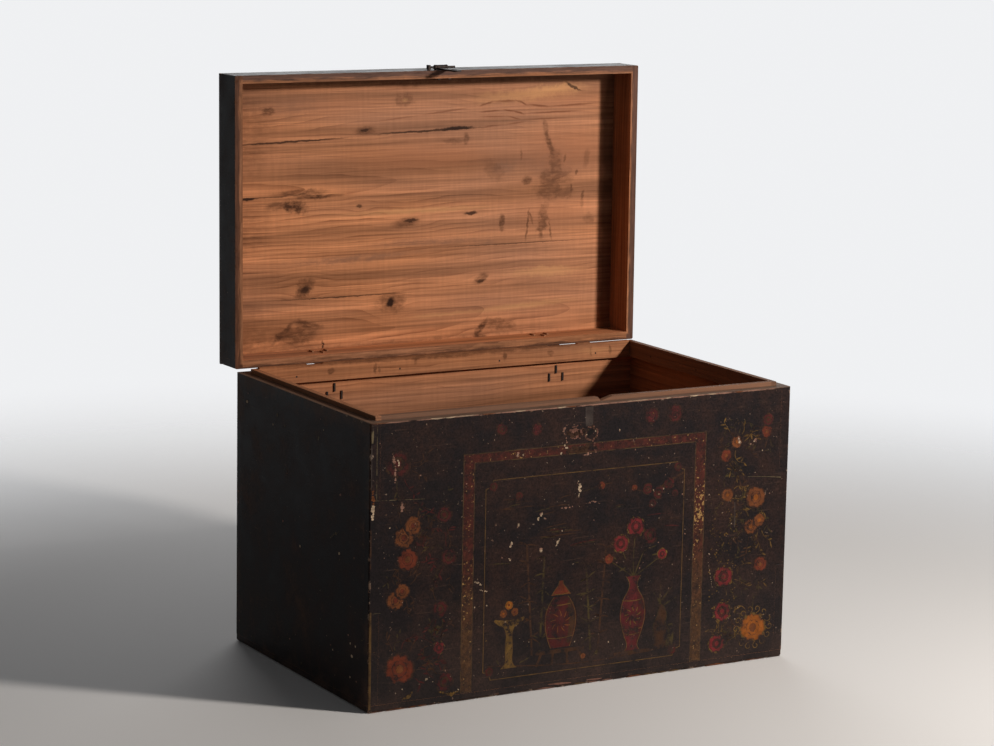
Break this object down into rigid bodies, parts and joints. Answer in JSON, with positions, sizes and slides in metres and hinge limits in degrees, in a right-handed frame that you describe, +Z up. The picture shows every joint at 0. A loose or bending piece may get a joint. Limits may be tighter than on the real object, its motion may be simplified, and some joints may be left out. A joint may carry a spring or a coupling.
{
  "type": "painted pine chest",
  "caption": "Rectangular lacquered pine storage chest with finger-jointed board walls, a rim lip, a deep lid on iron leaf hinges and a swinging hasp on the lid's front.",
  "frame": {"origin": "middle of the body's footprint, on the floor", "axes": "+X to the chest's right seen from the front, +Y to its back, +Z up"},
  "size_m": [0.8, 0.5869, 0.9852],
  "materials": {
    "lacquered_pine": "worn satin black lacquer outside, bare aged pine inside",
    "bare_pine": "bare aged pine",
    "bamboo": "split bamboo",
    "wrought_iron": "forged, darkly rusted"
  },
  "bodies": {
    "chest": {"front_upper_board": "lacquered_pine", "front_middle_board": "lacquered_pine", "front_lower_board": "lacquered_pine", "back_upper_board": "lacquered_pine", "back_middle_board": "lacquered_pine", "back_lower_board": "lacquered_pine", "left_upper_board": "lacquered_pine", "left_middle_board": "lacquered_pine", "left_lower_board": "lacquered_pine", "right_upper_board": "lacquered_pine", "right_middle_board": "lacquered_pine", "right_lower_board": "lacquered_pine", "bottom_front_board": "bare_pine", "bottom_middle_board": "bare_pine", "bottom_back_board": "bare_pine", "lip_front": "bare_pine", "lip_back": "bare_pine", "lip_left": "bare_pine", "lip_right": "bare_pine", "front_pegs": "bamboo", "back_pegs": "bamboo", "left_pegs": "bamboo", "right_pegs": "bamboo", "bottom_pegs": "bamboo", "corner_pins": "bamboo", "bottom_nails": "wrought_iron", "lip_nails": "wrought_iron", "hinge_left_lower_leaf": "wrought_iron", "hinge_left_pin": "wrought_iron", "hinge_left_lower_nails": "wrought_iron", "hinge_right_lower_leaf": "wrought_iron", "hinge_right_pin": "wrought_iron", "hinge_right_lower_nails": "wrought_iron"},
    "lid": {"lid_front_rail": "lacquered_pine", "lid_back_rail": "lacquered_pine", "lid_left_rail": "lacquered_pine", "lid_right_rail": "lacquered_pine", "lid_front_board": "lacquered_pine", "lid_second_board": "lacquered_pine", "lid_third_board": "lacquered_pine", "lid_back_board": "lacquered_pine", "lid_pegs": "bamboo", "lid_corner_pins": "bamboo", "lid_nails": "wrought_iron", "hinge_left_upper_leaf": "wrought_iron", "hinge_left_upper_nails": "wrought_iron", "hinge_right_upper_leaf": "wrought_iron", "hinge_right_upper_nails": "wrought_iron", "hasp_staple_left": "wrought_iron", "hasp_staple_right": "wrought_iron", "hasp_pin": "wrought_iron"},
    "hasp": {"hasp": "wrought_iron"}
  },
  "joints": [
    {"name": "lid_hinge", "type": "hinge", "parent": "chest", "child": "lid", "pos_m": [0, 0.25495, 0.4711], "axis": [1, 0, 0], "range_deg": [0, 90.6]},
    {"name": "hasp_swing", "type": "hinge", "parent": "lid", "child": "hasp", "pos_m": [0.002, 0.27759, 0.98099], "axis": [-1, 0, 0], "range_deg": [0, 175]}
  ]
}
